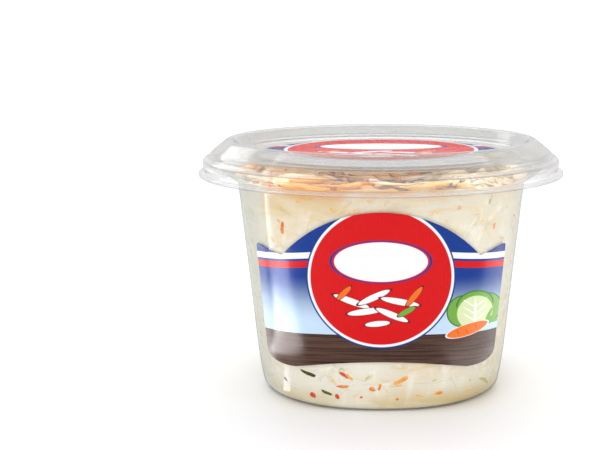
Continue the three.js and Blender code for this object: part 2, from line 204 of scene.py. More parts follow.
def new_object(name, verts, faces, look, sharp_over=None):
    """A smooth object of verts and faces. sharp_over is the angle in degrees past which an edge is sharp."""
    mesh = bpy.data.meshes.new(name)
    mesh.from_pydata([tuple(v) for v in verts], [], [tuple(f) for f in faces])
    mesh.validate()
    mesh.polygons.foreach_set("use_smooth", [True] * len(mesh.polygons))
    if sharp_over:
        mesh.set_sharp_from_angle(angle=math.radians(sharp_over))
    mesh.materials.append(look)
    mesh.update()
    piece = bpy.data.objects.new(name, mesh)
    scene.collection.objects.link(piece)
    return piece


def skin(rings):
    """Vertices and faces of a surface through rings of points, capped at both ends."""
    count = len(rings[0])
    last = (len(rings) - 1) * count
    faces = []
    for low in range(0, last, count):
        high = low + count
        for i in range(count):
            j = (i + 1) % count
            faces.append((low + i, low + j, high + j, high + i))
    faces.append(tuple(reversed(range(count))))
    faces.append(tuple(range(last, last + count)))
    return np.concatenate(rings), faces


def curve(start, bend, end, steps):
    """Points of a quadratic curve from start to end, pulled towards bend."""
    start, bend, end = (np.array(p, float) for p in (start, bend, end))
    return [(1 - t) ** 2 * start + 2 * t * (1 - t) * bend + t * t * end for t in np.linspace(0, 1, steps + 1)]


def round_corners(points, reach, steps=4):
    """A profile with each inner corner replaced by a short curve that starts up to reach from it."""
    points = [np.array(p, float) for p in points]
    out = [points[0]]
    for before, corner, after in zip(points, points[1:], points[2:]):
        to_before, to_after = before - corner, after - corner
        start = corner + to_before * min(reach / np.linalg.norm(to_before), 0.45)
        end = corner + to_after * min(reach / np.linalg.norm(to_after), 0.45)
        out += curve(start, corner, end, steps)
    out.append(points[-1])
    return out


def other_face(profile, thickness):
    """The other face of a sheet: the profile moved to its left by thickness."""
    moved = []
    for i, point in enumerate(profile):
        before, after = profile[max(i - 1, 0)], profile[min(i + 1, len(profile) - 1)]
        along = after - before
        along = along / np.linalg.norm(along)
        moved.append(point + thickness * np.array([-along[1], along[0]]))
    return moved


def lathe(profile, segments):
    """Vertices and faces of a closed profile turned about Z. Its first and last points are on the axis."""
    turns = np.linspace(0, TURN, segments, endpoint=False)
    x, y = np.cos(turns), np.sin(turns)
    rings = [np.stack([r * x, r * y, np.full(segments, z)], axis=1) for r, z in profile[1:-1]]
    verts, faces = skin(rings)
    first, last = len(verts), len(verts) + 1
    top = first - segments
    ends = [(0, 0, profile[0][1]), (0, 0, profile[-1][1])]
    fans = []
    for i in range(segments):
        j = (i + 1) % segments
        fans += [(first, j, i), (last, top + i, top + j)]
    return np.concatenate([verts, ends]), faces[:-2] + fans


# ---- Node helpers ----


class Nodes:
    """Builds a node tree. An input is a number, a colour, a socket, or a node, for its first output."""

    def __init__(self, tree):
        self.tree = tree
        tree.nodes.clear()

    def add(self, kind, inputs=None, **settings):
        node = self.tree.nodes.new(kind)
        for key, value in settings.items():
            setattr(node, key, value)
        for key, value in (inputs or {}).items():
            self.put(node.inputs[key], value)
        return node

    def put(self, socket, value):
        if isinstance(value, bpy.types.Node):
            value = value.outputs[0]
        if isinstance(value, bpy.types.NodeSocket):
            self.tree.links.new(value, socket)
        else:
            socket.default_value = value

    def math(self, operation, *values):
        return self.add("ShaderNodeMath", dict(enumerate(values)), operation=operation).outputs[0]

    def times(self, a, b):
        return self.math("MULTIPLY", a, b)

    def over(self, a, b):
        return self.math("DIVIDE", a, b)

    def plus(self, a, b):
        return self.math("ADD", a, b)

    def minus(self, a, b):
        return self.math("SUBTRACT", a, b)

    def ramp(self, value, low, high, out_low=0, out_high=1, smooth=True):
        """out_low up to low, out_high from high on, and between these in between."""
        inputs = {"Value": value, "From Min": low, "From Max": high, "To Min": out_low, "To Max": out_high}
        kind = "SMOOTHSTEP" if smooth else "LINEAR"
        return self.add("ShaderNodeMapRange", inputs, interpolation_type=kind).outputs[0]

    def mix(self, factor, a, b, blend="MIX"):
        inputs = {0: factor, 6: a, 7: b}
        return self.add("ShaderNodeMix", inputs, data_type="RGBA", blend_type=blend).outputs[2]

    def noise(self, vector, scale, detail=3, roughness=0.5, distortion=0, rotation=(0, 0, 0)):
        """Noise. Three numbers as scale stretch it along the axes, and rotation turns what is stretched."""
        if isinstance(scale, tuple):
            vector = self.add("ShaderNodeMapping", {"Vector": vector, "Scale": scale, "Rotation": rotation})
            scale = 1
        inputs = {"Vector": vector, "Scale": scale, "Detail": detail, "Roughness": roughness}
        return self.add("ShaderNodeTexNoise", inputs | {"Distortion": distortion}).outputs["Fac"]

    def position(self):
        return self.add("ShaderNodeTexCoord").outputs["Object"]

    def split(self, vector):
        """x, y and z of a vector."""
        return list(self.add("ShaderNodeSeparateXYZ", {"Vector": vector}).outputs)

    def attribute(self, name, output="Fac"):
        return self.add("ShaderNodeAttribute", attribute_name=name).outputs[output]

    def bump(self, height, strength, distance):
        inputs = {"Height": height, "Strength": strength, "Distance": distance}
        return self.add("ShaderNodeBump", inputs).outputs[0]

    def blend(self, share, a, b):
        """A mix of two shaders, with share of the second."""
        return self.add("ShaderNodeMixShader", {0: share, 1: a, 2: b})

    def surface(self, shader):
        self.add("ShaderNodeOutputMaterial", {"Surface": shader})

    def principled(self, inputs):
        self.surface(self.add("ShaderNodeBsdfPrincipled", inputs))


def srgb(r, g, b):
    """A colour given as it looks on screen, 0 to 255, as the shader needs it."""
    values = [c / 255 for c in (r, g, b)]
    linear = [c / 12.92 if c <= 0.04045 else ((c + 0.055) / 1.055) ** 2.4 for c in values]
    return (*linear, 1)


def material(name):
    made = bpy.data.materials.new(name)
    made.use_nodes = True
    return made, Nodes(made.node_tree)


WHITE = (1, 1, 1, 1)
MILK = srgb(232, 232, 233)
MIRRORED = 0.022  # share of the light that clear plastic mirrors when it is seen straight on
PASSED = 0.45  # share of the scattered light that goes on through the sheet
BEND_WIDTH = 0.35 * MM  # how far the line of a bend spreads over the sheet
BEND_SHADE = 0.5
BEND_MILK = 0.1


def clear_plastic(name, haze, slant_haze, slant_shade, edge_shade, waviness, bends=(), shade_above=None):
    """Thin clear plastic: light goes through, is mirrored at the surface and scattered a little.

    haze is the share that is scattered straight on, and slant_haze what is added to it at a slant.
    The slant and edge colours are painted shade: they darken the light that goes through the sheet, and what
    it mirrors, where it is seen at a slant and along it.
    waviness is how uneven the sheet is, which shows in what it mirrors.
    bends are the heights at which the sheet turns. Along these lines the sheet is painted darker, as painted
    shade, and scatters a little more light.
    The last argument gives a height and a colour: above that height the sheet is painted a little darker with
    that colour, as painted shade.
    """
    made, n = material(name)
    place = n.position()
    wave = n.bump(n.noise(place, 90, 2), waviness, 0.4 * MM)
    facing = n.add("ShaderNodeLayerWeight", {"Blend": 0.5, "Normal": wave}).outputs["Facing"]
    fresnel = n.math("MULTIPLY_ADD", n.math("POWER", facing, 5), 1 - MIRRORED, MIRRORED)
    height = n.split(place)[2]
    # Painted shade: darker where the sheet is seen at a slant, darkest where it is seen along its face.
    tint = n.mix(n.ramp(facing, 0.4, 0.9), WHITE, slant_shade)
    tint = n.mix(n.ramp(facing, 0.82, 1), tint, edge_shade)
    # Painted shade over the sheet above a given height.
    if shade_above:
        low, shade = shade_above
        tint = n.mix(n.ramp(height, low, low + 2 * MM), tint, shade, "MULTIPLY")
    milkiness = n.ramp(n.noise(place, 60), 0.3, 0.7, haze * 0.75, haze * 1.25)
    milkiness = n.plus(milkiness, n.ramp(facing, 0.2, 0.8, 0, slant_haze))
    # Painted shade: a dark line along each bend, where the sheet also scatters more.
    for bend in bends:
        line = n.ramp(n.math("ABSOLUTE", n.minus(height, bend)), 0, BEND_WIDTH, 1, 0)
        tint = n.mix(n.times(line, BEND_SHADE), tint, edge_shade)
        milkiness = n.math("MULTIPLY_ADD", line, BEND_MILK, milkiness)
    through = n.add("ShaderNodeBsdfTransparent", {"Color": tint})
    gloss = n.add("ShaderNodeBsdfGlossy", {"Color": tint, "Roughness": 0.06, "Normal": wave})
    scatter = n.add("ShaderNodeBsdfDiffuse", {"Color": MILK})
    passed = n.add("ShaderNodeBsdfTranslucent", {"Color": MILK})
    n.surface(n.blend(milkiness, n.blend(fresnel, through, gloss), n.blend(PASSED, scatter, passed)))
    return made


# ---- Tub and lid ----
LID_SEGMENTS = 192
BASE_BEND = 0.5 * MM
LID_BEND = 1.2 * MM


def tub_profile():
    """Outer face of the tub's sheet, from the raised middle of the base to the rim's turned-down edge."""
    ring_outer = wall_level(FOOT_ROUND)[0] - FOOT_ROUND
    ring_inner = ring_outer - FOOT_RING_WIDTH
    step_top = ring_inner - BASE_STEP
    base = [(step_top - 2 * MM, BASE_LIFT), (step_top, BASE_LIFT), (ring_inner, 0), (ring_outer - 1 * MM, 0)]
    foot = [
        np.array([ring_outer + FOOT_ROUND * math.sin(a), FOOT_ROUND - FOOT_ROUND * math.cos(a)])
        for a in np.linspace(0, QUARTER, 10)
    ]
    wall = [np.array([wall_level(z)[0], z]) for z in np.linspace(FOOT_ROUND, WALL_TOP, 25)[1:]]
    shoulder = [
        np.array([lerp(MOUTH_HALF, NECK_RADIUS, smoothstep(t, 0, 1)), lerp(WALL_TOP, NECK_FOOT, t)])
        for t in np.linspace(0, 1, 10)[1:]
    ]
    neck = [(NECK_RADIUS, NECK_FOOT + 0.2 * MM), (NECK_RADIUS, RIM_UNDERSIDE)]
    rim = [(RIM_RADIUS, RIM_UNDERSIDE), (RIM_RADIUS, RIM_EDGE_Z)]
    return round_corners(base, BASE_BEND) + foot + wall + shoulder + round_corners(neck + rim, RIM_BEVEL)


def make_tub():
    outer = tub_profile()
    inner = other_face(outer, SHEET)[::-1]
    # Painted shade at slants and along the edges of the tub's sheet.
    slant_shade, edge_shade = srgb(232, 233, 227), srgb(194, 197, 196)
    plastic = clear_plastic("clear_tub", 0.008, 0.05, slant_shade, edge_shade, 0.05)
    tub = new_object("tub_shell", *skin(tub_rings(outer + inner)), plastic, 50)
    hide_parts("tub")
    return tub


def lid_profile():
    """Top face of the lid's sheet, from its middle out to the bottom of the lip."""
    turns = [
        (0, PANEL_Z),
        (PANEL_RADIUS + 0.6 * MM, PANEL_Z),
        (CREST_INNER - 0.4 * MM, CREST_Z),
        (CREST_OUTER + 0.3 * MM, CREST_Z),
        SLOPE_FOOT,
        RIM_SEAT,
        (SKIRT[0], lerp(SKIRT[1], RIM_SEAT[1], 0.5)),
        SKIRT,
        (SKIRT[0], lerp(SKIRT[1], WAIST[1], 0.5)),
        WAIST,
        (WAIST[0], LIP_TOP),
        (LIP_RADIUS, LIP_TOP),
        (LIP_RADIUS, LIP_Z),
    ]
    return round_corners(turns, LID_BEND, steps=5)


def make_lid():
    top = lid_profile()
    underside = other_face(top, -SHEET)
    underside[0][0] = 0
    bends = (LIP_Z, SKIRT[1] + 0.8 * MM, RIM_SEAT[1], SLOPE_FOOT[1] + 0.2 * MM, CREST_Z)
    # Painted shade on the lid above the rim seat.
    shade_above = (RIM_SEAT[1], srgb(241, 242, 241))
    # Painted shade at slants and along the edges of the lid's sheet.
    slant_shade, edge_shade = srgb(249, 249, 250), srgb(186, 188, 192)
    plastic = clear_plastic("clear_lid", 0.04, 0.3, slant_shade, edge_shade, 0.04, bends, shade_above)
    lid = new_object("lid_shell", *lathe(underside + top[::-1], LID_SEGMENTS), plastic, 60)
    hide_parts("lid")
    return lid


# ---- Labels ----
EDGE_SPACING = 0.7 * MM
TUB_LABEL_GRID = 1.5 * MM
LID_LABEL_GRID = 2.5 * MM
LABEL_BEND = 0.8 * MM


def label_outline():
    """The die-cut outline of the body label, seen from the front: x across, z up."""
    centre_z = ARCH_TOP - ARCH_RADIUS
    end = math.atan2(NOTCH[1] - centre_z, NOTCH[0])
    arch = [p + [0, centre_z] for p in arc(ARCH_RADIUS, np.linspace(end, math.pi - end, 60))]
    foot_end = LABEL_FOOT_X - LABEL_CORNER[0]
    side_foot = (LABEL_FOOT_X + LABEL_FLARE, LABEL_FOOT_Z + LABEL_CORNER[1])
    foot_corner = curve((foot_end, LABEL_FOOT_Z), (LABEL_FOOT_X, LABEL_FOOT_Z), side_foot, 12)
    side = round_corners([side_foot, WING_TIP, NOTCH], LABEL_BEND)
    half = foot_corner + side[1:]
    mirrored = [np.array([-p[0], p[1]]) for p in reversed(half)]
    foot = [
        np.array([x, LABEL_FOOT_Z + LABEL_FOOT_ARCH * (1 - (x / foot_end) ** 2)])
        for x in np.linspace(-foot_end, foot_end, 40)[1:-1]
    ]
    return half[:-1] + arch + mirrored[1:] + foot


def resample(points, spacing):
    """Points along a closed line, with none further apart than spacing."""
    out = []
    for a, b in zip(points, points[1:] + points[:1]):
        steps = max(int(np.ceil(np.linalg.norm(b - a) / spacing)), 1)
        out += [lerp(a, b, t) for t in np.linspace(0, 1, steps, endpoint=False)]
    return out


def front_wall_turn(x, level):
    """Direction of the wall's normal at distance x from the middle of the front, 0 facing -Y."""
    half, corner, bow = level
    side = side_radius(half, corner, bow)
    on_side = np.arcsin(np.clip(x / side, -1, 1))
    centre = (side - corner) * np.sin(bow) * np.sign(x)
    on_corner = np.arcsin(np.clip((x - centre) / corner, -1, 1))
    return np.where(np.abs(on_side) <= bow, on_side, on_corner)


def wall_at(x, z, lift):
    """The points of the front wall at x and z, moved outwards by lift."""
    turn = front_wall_turn(x, wall_level(z))
    px, py = outline_point(wall_level(z, -lift), turn - QUARTER)
    return np.stack([px, py, z], axis=-1)


def flat_mesh(edge, spacing):
    """Triangles that fill a closed line of 2D points, with inner points on a grid."""
    edge = np.array(edge)
    low, high = edge.min(0), edge.max(0)
    xs = np.arange(low[0] + spacing / 2, high[0], spacing)
    zs = np.arange(low[1] + spacing / 2, high[1], spacing)
    grid = np.stack(np.meshgrid(xs, zs), axis=-1).reshape(-1, 2)
    away = np.min(np.linalg.norm(grid[:, None, :] - edge[None, :, :], axis=2), axis=1)
    grid = grid[away > spacing * 0.6]
    verts = [Vector(p) for p in np.concatenate([edge, grid])]
    loop = list(range(len(edge)))
    out = delaunay_2d_cdt(verts, [], [loop], 1, 1e-9)
    return np.array([tuple(v) for v in out[0]]), [tuple(f) for f in out[2]]


def film(name, look, flat, faces, under, over):
    """A thin closed film from a flat mesh and the places of its two faces. The print follows that mesh."""
    count = len(flat)
    solid = [tuple(reversed(f)) for f in faces] + [tuple(i + count for i in f) for f in faces]
    edges = [edge for f in faces for edge in zip(f, f[1:] + f[:1])]
    inner = set(edges)
    solid += [(a, b, b + count, a + count) for a, b in edges if (b, a) not in inner]
    piece = new_object(name, np.concatenate([under, over]), solid, look, 50)
    print_map = piece.data.attributes.new("print_map", "FLOAT_VECTOR", "POINT")
    both = np.concatenate([flat, flat])
    print_map.data.foreach_set("vector", np.column_stack([both, np.zeros(len(both))]).ravel())
    return piece


def make_tub_label():
    edge = resample(label_outline(), EDGE_SPACING)
    flat, faces = flat_mesh(edge, TUB_LABEL_GRID)
    under = wall_at(*flat.T, LABEL_LIFT)
    over = wall_at(*flat.T, LABEL_LIFT + LABEL_THICKNESS)
    look = label_print("tub_label_print", ARCH_TOP, 1, 0.6, SKY, True)
    label = film("tub_label_film", look, flat, faces, under, over)
    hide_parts("tub_label")
    return label


def make_lid_label():
    edge = arc(LID_LABEL_RADIUS, np.linspace(0, TURN, 180, endpoint=False))
    flat, faces = flat_mesh(edge, LID_LABEL_GRID)
    under = np.column_stack([flat, np.full(len(flat), LID_LABEL_Z)])
    over = under + np.array([0, 0, LABEL_THICKNESS])
    look = label_print("lid_label_print", LID_LABEL_RADIUS, 1.5, 0.1, PALE_SKY, False)
    label = film("lid_label_film", look, flat, faces, under, over)
    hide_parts("lid_label")
    return label


# Print of the labels: plain fields of colour and simple shapes. Its places and sizes are in millimetres
# on the body label, x from the middle and y down from the label's top.
RED = srgb(206, 8, 14)
DARK_RED = srgb(194, 8, 14)
OUTLINE_RED = srgb(112, 18, 18)
BLUE = srgb(10, 53, 134)
SKY = srgb(188, 212, 234)
PALE_SKY = srgb(232, 228, 232)
PAPER = srgb(234, 234, 234)
PLANK = srgb(84, 58, 47)
PLANK_DARK = srgb(46, 30, 24)
CARROT_PRINT = srgb(228, 112, 38)
CARROT_DARK = srgb(190, 78, 20)
LEAF_DARK = srgb(60, 112, 44)
LEAF_PRINT = srgb(112, 164, 66)
LEAF_PALE = srgb(210, 222, 172)
FADE_START, FADE_END = 19, 34
RIBBONS = [(10.2, 12, PAPER), (12.7, 14.7, RED)]  # upper and lower edge, colour
RIBBON_SLOPE = -0.09
PRINT_SOFTNESS = 0.02 * MM
PLANK_TOP = 36.8
PLANK_HEIGHT = 2.6
PRINTED_SHREDS = [
    # x, y, half length, half width, angle, colour
    (-8.5, 26.5, 5.4, 0.95, 0.35, PAPER),
    (-2, 25.2, 5, 0.95, -0.45, PAPER),
    (5.5, 26.6, 5.6, 0.95, 0.2, PAPER),
    (9.6, 25, 3.6, 0.85, -0.9, CARROT_PRINT),
    (-4.5, 29.6, 5.2, 0.95, -0.15, PAPER),
    (-10.6, 24, 2.8, 0.8, -0.8, CARROT_PRINT),
    (3.2, 30.6, 5, 0.95, 0.42, PAPER),
    (-1, 33.3, 3.6, 0.85, -0.1, PAPER),
    (7.4, 29.6, 2.8, 0.8, -0.5, LEAF_PRINT),
]
PRINTED_LEAVES = [
    # x, y, half width, half height, angle, colour of the rim and of the leaf
    (23.6, 30, 4.6, 4.9, 0.3, LEAF_DARK, LEAF_PRINT),
    (31.2, 30, 4.4, 4.9, -0.3, LEAF_DARK, LEAF_PRINT),
    (27.4, 28.4, 5.6, 4.4, 0, LEAF_DARK, LEAF_PRINT),
    (27.4, 30.8, 5.8, 5.6, 0, LEAF_PRINT, LEAF_PALE),
]


class Print(Nodes):
    """The nodes of a label's print. Its colour is made of fields laid over each other.

    size is how large the print is, compared with the body label's.
    """

    def __init__(self, tree, top, size, sky):
        super().__init__(tree)
        self.place = self.attribute("print_map", "Vector")
        across, up, _ = self.split(self.place)
        self.x = self.over(across, size)
        self.down = self.over(self.minus(top, up), size)
        self.colour = self.mix(self.ramp(self.down, FADE_START * MM, FADE_END * MM), BLUE, sky)

    def lay(self, mask, paint):
        self.colour = self.mix(mask, self.colour, paint)

    def below(self, height, edge):
        """1 where height, measured down, is past edge, and 0 above it."""
        return self.ramp(height, edge * MM - PRINT_SOFTNESS, edge * MM + PRINT_SOFTNESS, smooth=False)

    def disc(self, cx, cy, rx, ry=None, angle=0):
        """How far from an ellipse's middle a point is, 1 being its edge."""
        u = self.minus(self.x, cx * MM)
        v = self.minus(self.down, cy * MM)
        if angle:
            c, s = math.cos(angle), math.sin(angle)
            turned = self.plus(self.times(u, c), self.times(v, s))
            v = self.minus(self.times(v, c), self.times(u, s))
            u = turned
        u = self.over(u, rx * MM)
        v = self.over(v, (ry or rx) * MM)
        return self.math("SQRT", self.plus(self.times(u, u), self.times(v, v)))

    def fill(self, distance, paint, edge=1, softness=0.004):
        """Lay paint where distance is under edge."""
        self.lay(self.ramp(distance, edge - softness, edge + softness, 1, 0, smooth=False), paint)


def lay_ribbons(p):
    """Two straight ribbons across the blue."""
    height = p.plus(p.down, p.times(p.math("ABSOLUTE", p.x), RIBBON_SLOPE))
    for upper, lower, paint in RIBBONS:
        p.lay(p.times(p.below(height, upper), p.minus(1, p.below(height, lower))), paint)


def lay_planks(p):
    """A band of wooden planks at the foot."""
    grain = p.noise(p.place, (36, 1500, 1), 5, 0.65, 0.5)
    plank = p.mix(p.ramp(grain, 0.36, 0.6), PLANK_DARK, PLANK)
    joint = p.math("PINGPONG", p.minus(p.down, PLANK_TOP * MM), PLANK_HEIGHT * MM)
    plank = p.mix(p.ramp(joint, 0, 0.35 * MM, 0.75, 0), plank, PLANK_DARK)
    p.lay(p.below(p.down, PLANK_TOP), plank)


def lay_roundel(p):
    """A roundel that the label's top edge cuts off, with two rings round it and a blank oval on it."""
    weave = p.ramp(p.math("SINE", p.times(p.x, 6000)), -1, 1, 0, 0.35)
    roundel = p.disc(0, 19.5, 20.6)
    for edge, paint in ((1.045, BLUE), (1.022, PAPER), (0.985, p.mix(weave, RED, DARK_RED))):
        p.fill(roundel, paint, edge)
    oval = p.disc(0, 14.6, 13.4, 5.9)
    for edge, paint in ((1.1, BLUE), (1.045, RED), (1, PAPER)):
        p.fill(oval, paint, edge, 0.006)


def lay_shreds(p):
    """Shreds strewn below the oval, in place of words."""
    for *shape, paint in PRINTED_SHREDS:
        blade = p.disc(*shape)
        p.fill(blade, OUTLINE_RED, 1.16, 0.02)
        p.fill(blade, paint, 1, 0.02)


def lay_cabbage(p):
    """A cabbage, drawn plainly beside the roundel."""
    for *shape, rim, leaf in PRINTED_LEAVES:
        field = p.disc(*shape)
        p.fill(field, rim, 1, 0.012)
        p.fill(field, leaf, 0.92, 0.012)
    veins = [(27.4, 31.2, 0.4, 4.9, 0)]
    for y in (27.9, 30, 32.1):
        veins += [(27.4 - 1.7, y, 2.3, 0.22, 0.62), (27.4 + 1.7, y, 2.3, 0.22, -0.62)]
    for vein in veins:
        p.fill(p.disc(*vein), PAPER, softness=0.05)


def lay_carrot(p):
    """A carrot, drawn plainly at the cabbage's foot."""
    for x, y, angle in ((31.6, 32.2, -1.1), (32.6, 33, -0.5), (32.4, 34.2, 0.1)):
        p.fill(p.disc(x, y, 2.2, 0.55, angle), LEAF_PRINT, softness=0.04)
    root = p.disc(25.2, 35.9, 6.2, 1.7, -0.26)
    p.fill(root, PAPER, 1.08, 0.01)
    p.fill(root, CARROT_PRINT, 1, 0.01)
    for x, y in ((22.4, 36.4), (25, 36.3), (27.6, 35)):
        p.fill(p.disc(x, y, 0.8, 0.14, 1.2), CARROT_DARK, softness=0.05)


def label_print(name, top, size, gloss, sky, has_planks):
    """Blue fields that fade to sky, with ribbons, a roundel, vegetables and perhaps a band of planks.

    size is how large the print is, compared with the body label's, and gloss the weight of its varnish.
    """
    made, _ = material(name)
    p = Print(made.node_tree, top, size, sky)
    lay_ribbons(p)
    if has_planks:
        lay_planks(p)
    for lay in (lay_roundel, lay_shreds, lay_cabbage, lay_carrot):
        lay(p)
    inputs = {
        "Base Color": p.colour,
        "Roughness": p.ramp(p.noise(p.position(), 200, 2), 0.3, 0.7, 0.24, 0.32),
        "Specular IOR Level": 0.04,
        "Coat Weight": gloss,
        "Coat IOR": 1.3,
        "Coat Roughness": 0.2,
        "Normal": p.bump(p.noise(p.position(), 1600, 2), 0.04, 0.05 * MM),
    }
    p.principled(inputs)
    return made


# ---- Salad ----
PALE_START, PALE_END = 8 * MM, 26 * MM  # from left to right, where more dressing covers the salad's top
TOP_RIPPLE = 0.9 * MM


def salad_top(x, y):
    """Height of the salad's top, with its broad lumps."""
    broad = np.cos(TURN * x / BROAD_LUMPS[0]) * np.cos(TURN * y / BROAD_LUMPS[1])
    small = np.sin(TURN * (x / SMALL_LUMPS[0] + y / SMALL_LUMPS[1]))
    return SALAD_TOP + SALAD_LUMP * (broad + small / 2)


def ripple(x, y):
    """Small unevenness of the dressing between the pieces on its top."""
    return TOP_RIPPLE * np.sin(x * 900 + 2 * np.sin(y * 700)) * np.cos(y * 1100)


def dressing_tree():
    """A node group with the dressing's colour at any place in the salad."""
    tree = bpy.data.node_groups.new("dressing_colour", "ShaderNodeTree")
    tree.interface.new_socket("Color", in_out="OUTPUT", socket_type="NodeSocketColor")
    n = Nodes(tree)
    place = n.position()
    across, deep, height = n.split(place)
    broad = n.noise(place, 38, 2)
    cream = n.mix(n.ramp(broad, 0.38, 0.62), srgb(229, 226, 212), srgb(225, 217, 197))
    # Lying shreds, seen softly through the dressing.
    lying = n.noise(place, (60, 60, 210), 3, 0.55, 1.2, (0, 0.25, 0))
    cream = n.mix(n.ramp(lying, 0.54, 0.72, 0, 0.5), cream, srgb(230, 208, 166))
    crossed = n.noise(place, (190, 150, 90), 3, 0.5, 1, (0.5, 0.7, 0.2))
    cream = n.mix(n.ramp(crossed, 0.54, 0.72, 0, 0.7), cream, srgb(240, 237, 229))
    flecks = n.noise(place, (260, 260, 420), 2, 0.5, 0.6)
    cream = n.mix(n.ramp(flecks, 0.66, 0.74, 0, 0.4), cream, srgb(240, 190, 132))
    # Carrot colours the dressing near the top.
    blush = n.noise(place, (36, 36, 90), 3, 0.5, 0.6)
    warm = n.times(n.ramp(height, 44 * MM, 66 * MM), n.ramp(blush, 0.42, 0.62, 0.35, 1))
    warm = n.times(warm, n.ramp(across, -30 * MM, 16 * MM, 1, 0.24))
    cream = n.mix(warm, cream, srgb(218, 188, 134))
    # Near the top, and on the dressing between the loose pieces, a darker amber: partly carrot colour, partly
    # painted shade under the rim and between the pieces.
    ochre_and_shade = n.times(n.ramp(height, 63 * MM, 68 * MM), n.ramp(blush, 0.4, 0.58, 0.25, 0.85))
    ochre_and_shade = n.times(ochre_and_shade, n.ramp(across, PALE_START, PALE_END, 1, 0.25))
    cream = n.mix(ochre_and_shade, cream, srgb(232, 156, 62))
    # Thin liquid settles at the foot.
    settled = n.noise(place, (40, 40, 120), 3, 0.5, 0.5)
    liquid = n.times(n.ramp(height, 1 * MM, 9 * MM, 1, 0), n.ramp(settled, 0.36, 0.56, 0.3, 1))
    liquid = n.times(liquid, n.ramp(across, -30 * MM, 30 * MM, 0.6, 1))
    cream = n.mix(liquid, cream, srgb(204, 180, 118))
    # Painted shade: the dressing is greyer at the left front corner and on the left face.
    at_left = n.ramp(across, -37 * MM, -30 * MM, 0.95, 0)
    left_shade = n.times(at_left, n.ramp(deep, -17 * MM, -3 * MM, 1, 0.15))
    cream = n.mix(left_shade, cream, srgb(208, 208, 195))
    n.add("NodeGroupOutput", {0: cream})
    return tree


DRESSING = dressing_tree()


def food_material(name, paint, roughness, relief, scatter):
    """A moist food surface. paint(n, cream) gives its colour from nodes and the dressing's colour."""
    made, n = material(name)
    place = n.position()
    height = n.plus(n.noise(place, 700), n.times(n.noise(place, 180), 2))
    inputs = {
        "Base Color": paint(n, n.add("ShaderNodeGroup", node_tree=DRESSING)),
        "Roughness": n.ramp(n.noise(place, 260, 2), 0.3, 0.7, roughness * 0.75, roughness * 1.3),
        "Normal": n.bump(height, relief, 0.3 * MM),
        "IOR": 1.42,
        "Specular IOR Level": 0.2,
        "Subsurface Weight": scatter,
        "Subsurface Radius": (1, 0.8, 0.6),
        "Subsurface Scale": 1.2 * MM,
    }
    n.principled(inputs)
    return made


def make_dressing():
    """The dressing with what is sunk in it. It reaches just into the wall and base."""
    outer = [p for p in tub_profile() if p[1] <= SALAD_BRIM]
    rings = tub_rings(other_face(outer, SHEET - WALL_BITE))
    wall_ring = rings[-1]
    for share in np.linspace(1, 0.02, 48)[1:]:
        ring = wall_ring * np.array([share, share, 1])
        edge_drop = smoothstep(share, 0.9, 1)
        x, y = ring[:, 0], ring[:, 1]
        ring[:, 2] = lerp(salad_top(x, y) + ripple(x, y) - TOP_SINK, wall_ring[:, 2], edge_drop)
        rings.append(ring)
    look = food_material("dressing", lambda n, cream: cream, 0.42, relief=0.25, scatter=0.25)
    dressing = new_object("dressing", *skin(rings), look, 80)
    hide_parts("coleslaw")
    return dressing


def join(name, shreds, look):
    """One mesh of closed strips, each given as rings of points and two traits.

    The traits are how much of its colour shows, for the strip or each of its points, and its tint.
    """
    verts, faces, show, tint = [], [], [], []
    count = 0
    for rings, *traits in shreds:
        points, sides = skin(rings)
        verts.append(points)
        faces += [tuple(i + count for i in f) for f in sides]
        count += len(points)
        for values, value in zip((show, tint), traits):
            values.append(np.broadcast_to(value, len(points)))
    piece = new_object(name, np.concatenate(verts), faces, look, 70)
    for trait, values in (("show", show), ("tint", tint)):
        layer = piece.data.attributes.new(trait, "FLOAT", "POINT")
        layer.data.foreach_set("value", np.concatenate(values).astype(np.float32))
    return piece


SECTION = np.array(arc(1, np.linspace(0, -TURN, 10, endpoint=False)))
WALL_STEP = 0.9 * MM
TOP_STEP = 1.6 * MM


def strip(path, face, width, thickness, taper=0.35, blunt=6, square=0.8, gutter=0, ragged=0):
    """Rings of a strip along path. face is the direction that its broad side looks, at each point.

    The ends narrow to the share taper of the width, later along the strip where blunt is higher.
    The lower square is, the squarer is its section. gutter is how far it bends round its length, and
    ragged how uneven its two edges are.
    Also gives how far each point is from the middle, across and along the strip, 1 being its edge.
    """
    path, face = np.array(path), np.array(face)
    along = np.gradient(path, axis=0)
    along /= np.linalg.norm(along, axis=1)[:, None]
    face = face - along * np.sum(face * along, axis=1)[:, None]
    face /= np.linalg.norm(face, axis=1)[:, None]
    side = np.cross(along, face)
    t = np.linspace(-1, 1, len(path))
    ends = (1 - (1 - taper) * np.abs(t) ** blunt)[:, None]
    left, right = (1 + ragged * np.sin(t * rng.uniform(2, 6) + rng.uniform(0, TURN)) for _ in range(2))
    c, s = SECTION.T
    edge = np.where(c < 0, left[:, None], right[:, None])
    u = np.sign(c) * np.abs(c) ** square * width / 2 * ends * edge
    v = np.sign(s) * np.abs(s) ** square * thickness / 2 * (0.4 + 0.6 * ends)
    v = v + gutter * width * (c**2 - 0.3)
    rings = path[:, None] + side[:, None] * u[..., None] + face[:, None] * v[..., None]
    across = np.stack(np.broadcast_arrays(np.abs(c), np.abs(t)[:, None]), axis=-1)
    return rings, across.reshape(-1, 2)


def wall_lean(z, turn):
    """How far the wall leans out for each unit of height, where its normal points in the direction turn."""
    reach = 0.5 * MM
    x, y = np.subtract(outline_point(wall_level(z + reach), turn), outline_point(wall_level(z - reach), turn))
    return (x * math.cos(turn) + y * math.sin(turn)) / (2 * reach)


